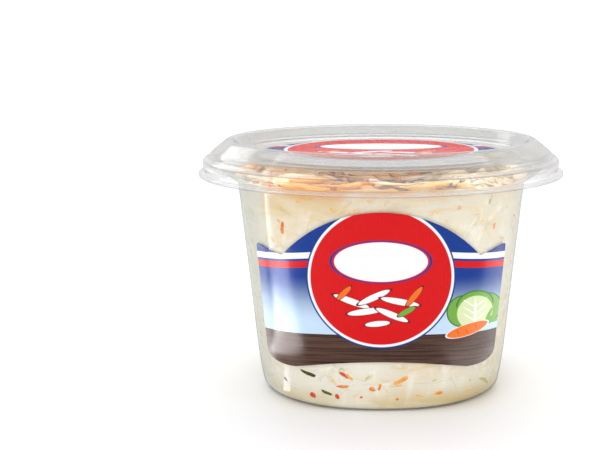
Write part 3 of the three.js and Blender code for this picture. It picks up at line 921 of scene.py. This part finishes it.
def wall_strip(z, turn, heading, curl, length, width, thickness, proud, steps=None, **shape):
    """A strip pressed against the wall, whose face is just outside the dressing."""
    steps = steps or max(int(length / WALL_STEP), 5)
    step = length / (steps - 1)
    inset = SHEET - WALL_BITE - proud + thickness / 2
    path, face = [], []
    for _ in range(steps):
        level = wall_level(z, inset)
        x, y = outline_point(level, turn)
        path.append((float(x), float(y), z))
        face.append((math.cos(turn), math.sin(turn), -wall_lean(z, turn)))
        turn = further_round(level, turn, step * math.cos(heading))
        z += step * math.sin(heading)
        heading += curl * step
    return strip(path, face, width, thickness, **shape)


FOOT_LIMIT = 4.6 * MM
# The left front corner, where the dressing carries painted shade.
SHADED_CORNER = (-30 * MM, -12 * MM)
FRONT_FAINTNESS = 0.35  # how much of a strewn bit's colour is left at the front, among those set one by one
TOP_LIMIT = 66 * MM
ACCENT_PROUD = SHRED_PROUD * 1.6


def inside_wall(rings):
    """Whether a shred lies between the wall's foot and its top."""
    return rings[..., 2].min() > FOOT_LIMIT and rings[..., 2].max() < TOP_LIMIT


def beside_accents(rings):
    """Whether a shred lies clear of the part of the front where the bits are set one by one."""
    return rings[..., 1].min() > -FOOT_HALF * 0.75 or np.abs(rings[..., 0]).min() > FOOT_HALF


def at_shaded_corner(rings):
    """Whether a shred lies at the left front corner, where the dressing is painted greyer as shade and the
    shred shows faintly.
    """
    x, y, _ = rings.mean(axis=(0, 1))
    return x < SHADED_CORNER[0] and y < SHADED_CORNER[1]


def shown(across, crisp):
    """1 where a shred lies bare at the wall, less towards its edges, where the dressing covers it."""
    edge = 1 - smoothstep(across[:, 0], lerp(0.35, 0.95, crisp), 1.02)
    end = 1 - smoothstep(across[:, 1], lerp(0.4, 0.93, crisp), 1.02)
    return edge * end


CABBAGE, CARROT, PEPPER, HERB = "cabbage_shreds", "carrot_shreds", "pepper_bits", "herb_bits"
KINDS = {
    # kind: (count at the wall, length, width, thickness, crispness, how much shows)
    CABBAGE: (520, (7, 26), (1.6, 4.2), 1, (0, 0.5), (0.2, 0.9)),
    CARROT: (300, (2.5, 11), (0.9, 2), 1.1, (0, 0.5), (0.1, 0.6)),
    PEPPER: (90, (1.4, 3.6), (0.9, 1.9), 1, (0.3, 1), (0.2, 0.9)),
    HERB: (60, (1.4, 6), (0.7, 1.3), 0.8, (0.2, 0.9), (0.15, 0.8)),
}

# The bits that show best below and above the label, set one by one:
# kind, x and z of the middle, length, width, angle to the horizontal in degrees, curl, crispness, tint.
ACCENTS = [
    (HERB, -21.6, 11.6, 6.2, 2, -35, 60, 0.85, 0),
    (HERB, -29, 8.6, 1.9, 1.1, -70, 0, 1, 0.1),
    (HERB, -16.3, 6, 2.9, 1.4, -38, 0, 0.85, 0.05),
    (PEPPER, -11.2, 12, 4, 1.5, -44, 0, 0.8, 0.5),
    (CARROT, -9.3, 11.2, 3.4, 1.3, -50, 0, 0.5, 0.3),
    (CARROT, -11.3, 8.2, 5.4, 1.6, 0, 0, 0.85, 1),
    (CARROT, -2.7, 7.6, 3.2, 2.3, -25, 0, 0.8, 0.8),
    (CARROT, -0.4, 8.1, 2.8, 1.6, 72, 0, 0.8, 0.6),
    (CARROT, 5.8, 10.2, 5.6, 2, 33, 0, 0.6, 0.3),
    (CARROT, 4.6, 8.6, 4.6, 1.1, 8, 0, 0.3, 0.1),
    (CARROT, 17.2, 5.8, 3, 1.5, 5, 0, 0.7, 0.5),
    (PEPPER, -20.6, 4.7, 2.8, 2.4, 20, 0, 0.9, 0.2),
    (PEPPER, -13.1, 4.9, 2.4, 2, 80, 0, 0.9, 0.1),
    (PEPPER, -5.9, 4.8, 1.2, 1.1, 0, 0, 0.6, 0.6),
    (CARROT, -7.6, 5.4, 3.4, 0.9, 12, 0, 0.2, 0.2),
    (CARROT, 11.5, 5.2, 4.2, 1, -6, 0, 0.2, 0.2),
    (CARROT, -14.6, 10.4, 5, 1.7, -60, 0, 0.15, 0.3),
    (HERB, -12, 13.3, 3.5, 1.8, 20, 0, 0.1, 1),
    (CARROT, 5.7, 14.2, 7, 1.3, -4, 0, 0.15, 0),
    (PEPPER, 4.8, 4.2, 1.3, 1.1, 0, 0, 0.5, 0.9),
    (CARROT, 27.5, 5.5, 6, 1.6, 14, 0, 0.2, 0.5),
    (CARROT, 34, 13.5, 4, 1.6, 80, 0, 0.3, 0.4),
    (CARROT, -33, 5, 4, 1.6, -30, 0, 0.3, 0.3),
    (CARROT, -28.6, 56.2, 4.4, 1.7, 88, 0, 0.9, 1),
    (CABBAGE, -24.6, 60, 15.5, 1.2, 130, -330, 1, 1),
    (CABBAGE, -10.5, 61.9, 9, 1.3, 25, 60, 1, 1),
    (CARROT, -23.5, 64.3, 2.6, 1.4, 20, 0, 0.1, 0.1),
    (CARROT, -20.8, 65.4, 4.2, 1.3, 10, 0, 0.2, 0.4),
    (CARROT, -3, 64.6, 3.4, 1.5, -20, 0, 0.05, 0),
    (CARROT, 1.8, 64, 2.2, 1.6, 30, 0, 0.1, 0.1),
    (CARROT, 16, 61.4, 7, 2, 10, 0, 0, 0),
    (CARROT, 19, 58.7, 2.6, 1.6, 40, 0, 0, 0.1),
    (PEPPER, 22, 62.4, 3.2, 1.8, 15, 0, 0, 0.9),
    (CARROT, -29, 62, 2.2, 1.2, 80, 0, 0.2, 0.3),
    (CARROT, -7.8, 62.6, 7.4, 1.3, 45, -120, 0.15, 0.1),
    (CARROT, -13.8, 62, 3, 1.5, -20, 0, 0.15, 0.1),
    (CARROT, 33.1, 56.1, 2.8, 1.4, 80, 0, 0.5, 0.8),
    (CARROT, 28.5, 57.8, 5.6, 1.3, 24, 0, 0.1, 0),
    (HERB, 31.9, 64.2, 3.4, 1.1, 60, 120, 0.3, 0.7),
    (HERB, 32, 8.2, 8.6, 1.5, -8, -90, 0.35, 0.8),
    (HERB, -4, 11, 5.6, 1.4, 38, 0, 0.15, 1),
]


def set_accents(piles):
    """Press the bits that show best at the front against the wall, one by one."""
    for kind, x, z, length, width, angle, curl, crisp, tint in ACCENTS:
        heading = math.radians(angle)
        half = length * MM / 2
        level = wall_level(z * MM)
        middle = float(front_wall_turn(x * MM, level)) - QUARTER
        turn = further_round(level, middle, -half * math.cos(heading))
        start = (z * MM - half * math.sin(heading), turn, heading, curl)
        size = (length * MM, width * MM, KINDS[kind][3] * MM)
        form = {"taper": rng.uniform(0.1, 0.5), "blunt": rng.uniform(1.5, 5), "ragged": 0.18}
        rings, across = wall_strip(*start, *size, ACCENT_PROUD, 16, **form)
        piles[kind].append((rings, shown(across, crisp * 0.65) * lerp(0.33, 1, crisp), tint))


def strew_wall(piles):
    """Press pieces of every kind against the wall. Those that reach too high or too low are left out."""
    for kind, (count, length, width, thickness, crispness, showing) in KINDS.items():
        for _ in range(count):
            z = rng.uniform(FOOT_LIMIT, TOP_LIMIT)
            turn = anywhere_round(wall_level(z))
            heading = rng.uniform(-1, 1) + (math.pi if rng.random() < 0.5 else 0)
            curl = rng.normal(0, 28)
            size = (rng.uniform(*length) * MM, rng.uniform(*width) * MM, thickness * MM)
            crisp = rng.uniform(*crispness)
            proud = SHRED_PROUD * rng.uniform(0.5, 1.3)
            rings, across = wall_strip(z, turn, heading, curl, *size, proud)
            show = shown(across, crisp) * rng.uniform(*showing)
            # Faint at the left front corner, under the painted shade; bits other than cabbage are faint too
            # among those set one by one.
            if at_shaded_corner(rings) or (kind != CABBAGE and not beside_accents(rings)):
                show *= FRONT_FAINTNESS
            if inside_wall(rings):
                piles[kind].append((rings, show, rng.random()))


def patchy(n, show):
    """How much of a bit's own colour shows, with an uneven edge."""
    uneven = n.ramp(n.noise(n.position(), 1000, 3), 0.3, 0.7, -0.22, 0.22)
    return n.ramp(n.plus(show, n.times(uneven, n.ramp(show, 0, 0.3))), 0.05, 0.8)


def traits(n):
    """How much of a bit's own colour shows, and where it lies between the two colours of its kind."""
    return n.attribute("show"), n.attribute("tint")


def cabbage_paint(n, cream):
    show, tint = traits(n)
    leaf = n.mix(tint, srgb(246, 242, 226), srgb(232, 208, 152))
    vein = n.noise(n.position(), (260, 260, 520), 3, 0.5, 0.8)
    leaf = n.mix(n.ramp(vein, 0.45, 0.62, 0, 0.6), leaf, srgb(228, 205, 150))
    return n.mix(n.times(show, 0.75), cream, leaf)


def bit_paint(colours, fringe, grain=None):
    """The paint of a kind of small bits, given its two colours.

    fringe is how much of the bit shows where its edge starts and where it ends, the weight of the edge's
    colour and that colour. grain is the colour of streaks.
    """
    bare, covered, weight, edge = fringe

    def paint(n, cream):
        show, tint = traits(n)
        colour = n.mix(tint, *colours)
        if grain:
            streak = n.ramp(n.noise(n.position(), 420), 0.4, 0.65, 0, 0.4)
            colour = n.mix(streak, colour, grain)
        colour = n.mix(n.ramp(show, bare, covered, 0, weight), colour, edge)
        return n.mix(patchy(n, show), cream, colour)

    return paint


CARROT_GRAIN = srgb(250, 196, 112)
CARROT_COLOURS = (srgb(238, 172, 54), srgb(222, 104, 0))
PEPPER_COLOURS = (srgb(212, 62, 0), srgb(218, 90, 0))
HERB_COLOURS = (srgb(30, 40, 6), srgb(172, 176, 70))
PAINTS = {
    # kind: (paint, roughness)
    CABBAGE: (cabbage_paint, 0.3),
    CARROT: (bit_paint(CARROT_COLOURS, (0.8, 0.3, 0.55, srgb(246, 200, 96)), CARROT_GRAIN), 0.3),
    PEPPER: (bit_paint(PEPPER_COLOURS, (0.85, 0.35, 0.7, srgb(240, 150, 52))), 0.25),
    HERB: (bit_paint(HERB_COLOURS, (0.95, 0.6, 0.95, srgb(158, 162, 24))), 0.3),
}


def top_strip(x, y, heading, curl, length, width, thickness, lift, rise, roll, **shape):
    """A loose strip on the salad's top."""
    steps = max(int(length / TOP_STEP), 6)
    step = length / (steps - 1)
    path, face = [], []
    for i in range(steps):
        t = i / (steps - 1)
        path.append((x, y, float(salad_top(x, y)) + lift + rise * (2 * t - 1) ** 2))
        tilt = roll * math.sin(t * math.pi * 0.9 + roll)
        face.append((math.sin(tilt) * math.sin(heading), -math.sin(tilt) * math.cos(heading), math.cos(tilt)))
        x += step * math.cos(heading)
        y += step * math.sin(heading)
        heading += curl * step
    return strip(path, face, width, thickness, **shape)


TOP_KINDS = {
    # kind: (count on top, length, width, thickness, highest lift)
    CABBAGE: (430, (14, 38), (2.4, 7.5), 0.8, 1.1),
    CARROT: (190, (7, 24), (1.6, 3.2), 1.3, 1.3),
    PEPPER: (24, (2, 6), (1.5, 2.6), 1, 1.4),
    HERB: (34, (2, 8), (0.9, 1.7), 0.6, 1.5),
}
SALAD_CEILING = 71.9 * MM
FAINT_AT_RIGHT = 0.3  # how much of a bit's colour is left at the right, where more dressing covers the top
RIM_SHARE = 0.7  # share of the loose pieces that lie near the rim, where the lid lets them be seen
TOP_SQUARENESS = 0.7
TOP_MARGIN = 2.4 * MM  # how far from the wall's outer face the middle of a loose piece stays
TOP_CLEARANCE = 1.2 * MM  # how far from it every part of the piece stays

# Carrot pieces at the front edge, set one by one: x and y of the middle, length, width, angle, lift.
EDGE_CARROTS = [
    (-24, -40.2, 9, 3.4, 8, 0.8),
    (-18.5, -41.8, 8, 3, -6, 1.2),
    (-21, -37.5, 11, 2.8, 20, 1.9),
    (-9, -42.2, 7, 2.4, 4, 0.6),
    (11.5, -42.2, 7.5, 3, -8, 1),
    (15.5, -41, 8, 2.8, 12, 1.5),
    (24.5, -39.8, 6, 2.2, -14, 0.7),
]


def clear_of_wall(rings):
    """Whether every part of a piece on the top stays clear of the wall."""
    x, y = rings[..., 0], rings[..., 1]
    wall_x, wall_y = outline_point(wall_level(WALL_TOP, TOP_CLEARANCE), np.linspace(0, TURN, 180))
    reach = np.interp(np.arctan2(y, x), np.arctan2(wall_y, wall_x), np.hypot(wall_x, wall_y), period=TURN)
    return bool(np.all(np.hypot(x, y) < reach))


def set_edge_carrots(piles):
    """Lay the carrot pieces that show at the front edge, one by one."""
    for x, y, length, width, angle, lift in EDGE_CARROTS:
        heading = math.radians(angle)
        half = length * MM / 2
        start = (x * MM - half * math.cos(heading), y * MM - half * math.sin(heading), heading, 0)
        size = (length * MM, width * MM, 1.6 * MM)
        rings, _ = top_strip(*start, *size, lift * MM, 0, 0.3, square=TOP_SQUARENESS)
        piles[CARROT].append((rings, 0.5, 0.7 * rng.random()))


def strew_top(piles):
    """Strew loose pieces over the salad's top. Those that reach the wall or the lid are left out."""
    for kind, (count, length, width, thickness, highest) in TOP_KINDS.items():
        for _ in range(count):
            heading = rng.uniform(0, TURN)
            turn = rng.uniform(0, TURN)
            near_rim = rng.random() < RIM_SHARE
            reach = rng.uniform(0.8, 1) if near_rim else rng.uniform(0, 0.85) ** 0.5
            ex, ey = outline_point(wall_level(WALL_TOP, TOP_MARGIN), turn)
            span = rng.uniform(*length) * MM
            x = float(ex) * reach - span / 2 * math.cos(heading)
            y = float(ey) * reach - span / 2 * math.sin(heading)
            curl = rng.normal(0, 30)
            size = (span, rng.uniform(*width) * MM, thickness * MM)
            lift = rng.uniform(-0.2, highest) * MM
            rise = rng.uniform(-0.8, 0.9) * MM
            roll = rng.normal(0, 0.5)
            form = {"square": TOP_SQUARENESS, "gutter": rng.uniform(-0.12, 0.12) if kind == CABBAGE else 0}
            rings, _ = top_strip(x, y, heading, curl, *size, lift, rise, roll, **form)
            if rings[..., 2].max() > SALAD_CEILING or not clear_of_wall(rings):
                continue
            show = rng.uniform(0.25, 0.8)
            if kind != CABBAGE:
                show *= lerp(1, FAINT_AT_RIGHT, smoothstep(x, PALE_START, PALE_END))
            piles[kind].append((rings, show, rng.random() ** 1.5))


# ---- Stage ----


def make_floor():
    """A pale floor that sweeps up into a backdrop."""
    half_width, front, back, bend, top = 3, -2.5, 1.2, 0.6, 2.6
    path = [(front, 0), (back, 0)]
    for a in np.linspace(0, QUARTER, 24)[1:]:
        path.append((back + bend * math.sin(a), bend - bend * math.cos(a)))
    path.append((back + bend, top))
    verts = [(x, y, z) for y, z in path for x in (-half_width, half_width)]
    faces = [(2 * i, 2 * i + 1, 2 * i + 3, 2 * i + 2) for i in range(len(path) - 1)]
    made, n = material("floor")
    tone = n.ramp(n.noise(n.position(), 3, 2), 0.3, 0.7)
    colour = n.mix(tone, srgb(246, 246, 247), srgb(243, 243, 244))
    n.principled({"Base Color": colour, "Roughness": 0.6, "Specular IOR Level": 0.2})
    floor = new_object("floor", verts, faces, made)


def softbox(name, place, target, width, height, brightness, on=(), shows="everywhere"):
    """A rectangular lamp. brightness is how bright its face looks, 1 being white.

    Where pieces are given in on, the lamp lights only those, and only they shade each other from it.
    shows is "mirrored" for a lamp that is only mirrored, and "unmirrored" for one that never is.
    """
    light = bpy.data.lights.new(name, "AREA")
    light.shape = "RECTANGLE"
    light.size, light.size_y = width, height
    light.energy = brightness * math.pi * width * height
    lamp = bpy.data.objects.new(name, light)
    lamp.location = place
    direction = Vector(target) - Vector(place)
    lamp.rotation_euler = direction.to_track_quat("-Z", "Y").to_euler()
    lamp.visible_camera = False
    lamp.visible_diffuse = shows != "mirrored"
    lamp.visible_glossy = shows != "unmirrored"
    if on:
        lit = bpy.data.collections.new(name + "_lit")
        for piece in on:
            lit.objects.link(piece)
        lamp.light_linking.receiver_collection = lit
        lamp.light_linking.blocker_collection = lit
    scene.collection.objects.link(lamp)
    return lamp


def make_lights(tub, label, lid, salad):
    """Soft light from all sides, and the highlights that the photo shows."""
    middle = (0, 0, 0.04)
    softbox("key_left", (-0.62, -0.16, 0.16), middle, 0.04, 0.42, 2.5)
    softbox("fill_right", (0.6, -0.35, 0.2), middle, 0.06, 0.4, 3)
    softbox("front", (-0.1, -0.9, 0.5), middle, 0.8, 0.6, 1.5, shows="unmirrored")
    softbox("backdrop", (0, 0.7, 1.3), (0, 1.6, 0.2), 1.6, 0.6, 2)
    softbox("top", (0, 0.1, 0.75), (0, 0, 0.05), 0.8, 0.6, 0.8, shows="unmirrored")
    # Through the lid's panel, onto the top of the salad.
    softbox("through_lid", (0, -0.05, 0.4), (0, -0.03, 0.07), 0.3, 0.2, 6, salad, "unmirrored")
    # A broad highlight high on the left of the lid.
    softbox("lid_left", (-0.55, 0.6, 0.5), (-0.04, 0, 0.07), 0.4, 0.3, 3, (lid,), "mirrored")
    # Lamps that lie on the floor and show only as highlights on one piece: x, y, length, width, angle.
    for name, x, y, length, width, angle, brightness, on in (
        ("skirt_left", -0.31, 0.27, 0.25, 0.25, 0, 1.2, lid),
        ("strip_left", -0.172, -0.054, 0.18, 0.018, 0, 12, tub),
        ("strip_left_soft", -0.172, -0.07, 0.18, 0.014, 0, 5, tub),
        ("strip_left_foot", -0.0533, -0.0435, 0.054, 0.0042, 36, 5, tub),
        ("strip_on_label", -0.172, -0.054, 0.18, 0.018, 0, 20, label),
        ("glow_left", -0.12, -0.082, 0.15, 0.055, 26, 22, label),
        ("glow_left_edge", -0.13, 0, 0.2, 0.06, 0, 8, label),
        ("glow_right_edge", 0.13, -0.03, 0.2, 0.09, 0, 6, label),
    ):
        strip = softbox(name, (x, y, 0.001), (x, y, 1), length, width, brightness, (on,), "mirrored")
        strip.rotation_euler = Euler((math.pi, 0, math.radians(angle)))


def make_world():
    """A soft white surrounding, a little darker towards the floor."""
    scene.world = bpy.data.worlds.new("studio")
    scene.world.use_nodes = True
    n = Nodes(scene.world.node_tree)
    height = n.split(n.add("ShaderNodeTexCoord").outputs["Generated"])[2]
    glow = n.ramp(height, 0, 0.5, 0.8, 1)
    n.add("ShaderNodeOutputWorld", {0: n.add("ShaderNodeBackground", {"Color": WHITE, "Strength": glow})})


# ---- Camera, solved from the photo ----
CAMERA_BACK = 368.5 * MM
CAMERA_HEIGHT = 115.2 * MM
CAMERA_PITCH = 0.175
FOCAL_PIXELS = 1163.3
CENTRE_PIXEL = 381
IMAGE_WIDTH = 600
SENSOR = 36


def make_camera():
    data = bpy.data.cameras.new("camera")
    data.sensor_width = SENSOR
    data.lens = FOCAL_PIXELS / IMAGE_WIDTH * SENSOR
    data.shift_x = (IMAGE_WIDTH / 2 - CENTRE_PIXEL) / IMAGE_WIDTH
    data.clip_start = 0.02
    camera = bpy.data.objects.new("camera", data)
    camera.location = (0, -CAMERA_BACK, CAMERA_HEIGHT)
    camera.rotation_euler = Euler((QUARTER - CAMERA_PITCH, 0, 0))
    scene.collection.objects.link(camera)
    scene.camera = camera


# ---- Assembly ----
make_camera()
make_floor()

tub, lid, tub_label, lid_label = make_tub(), make_lid(), make_tub_label(), make_lid_label()
salad = [make_dressing()]
piles = {kind: [] for kind in KINDS}
for fill in (set_accents, strew_wall, set_edge_carrots, strew_top):
    fill(piles)
for name, (paint, roughness) in PAINTS.items():
    salad.append(join(name, piles[name], food_material(name, paint, roughness, relief=0.2, scatter=0.15)))
for piece in [tub, lid, tub_label, lid_label, *salad]:
    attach(piece, "root")
make_lights(tub, tub_label, lid, salad)
make_world()

scene.view_settings.view_transform = "Standard"
scene.cycles.max_bounces = 12
scene.cycles.transparent_max_bounces = 24
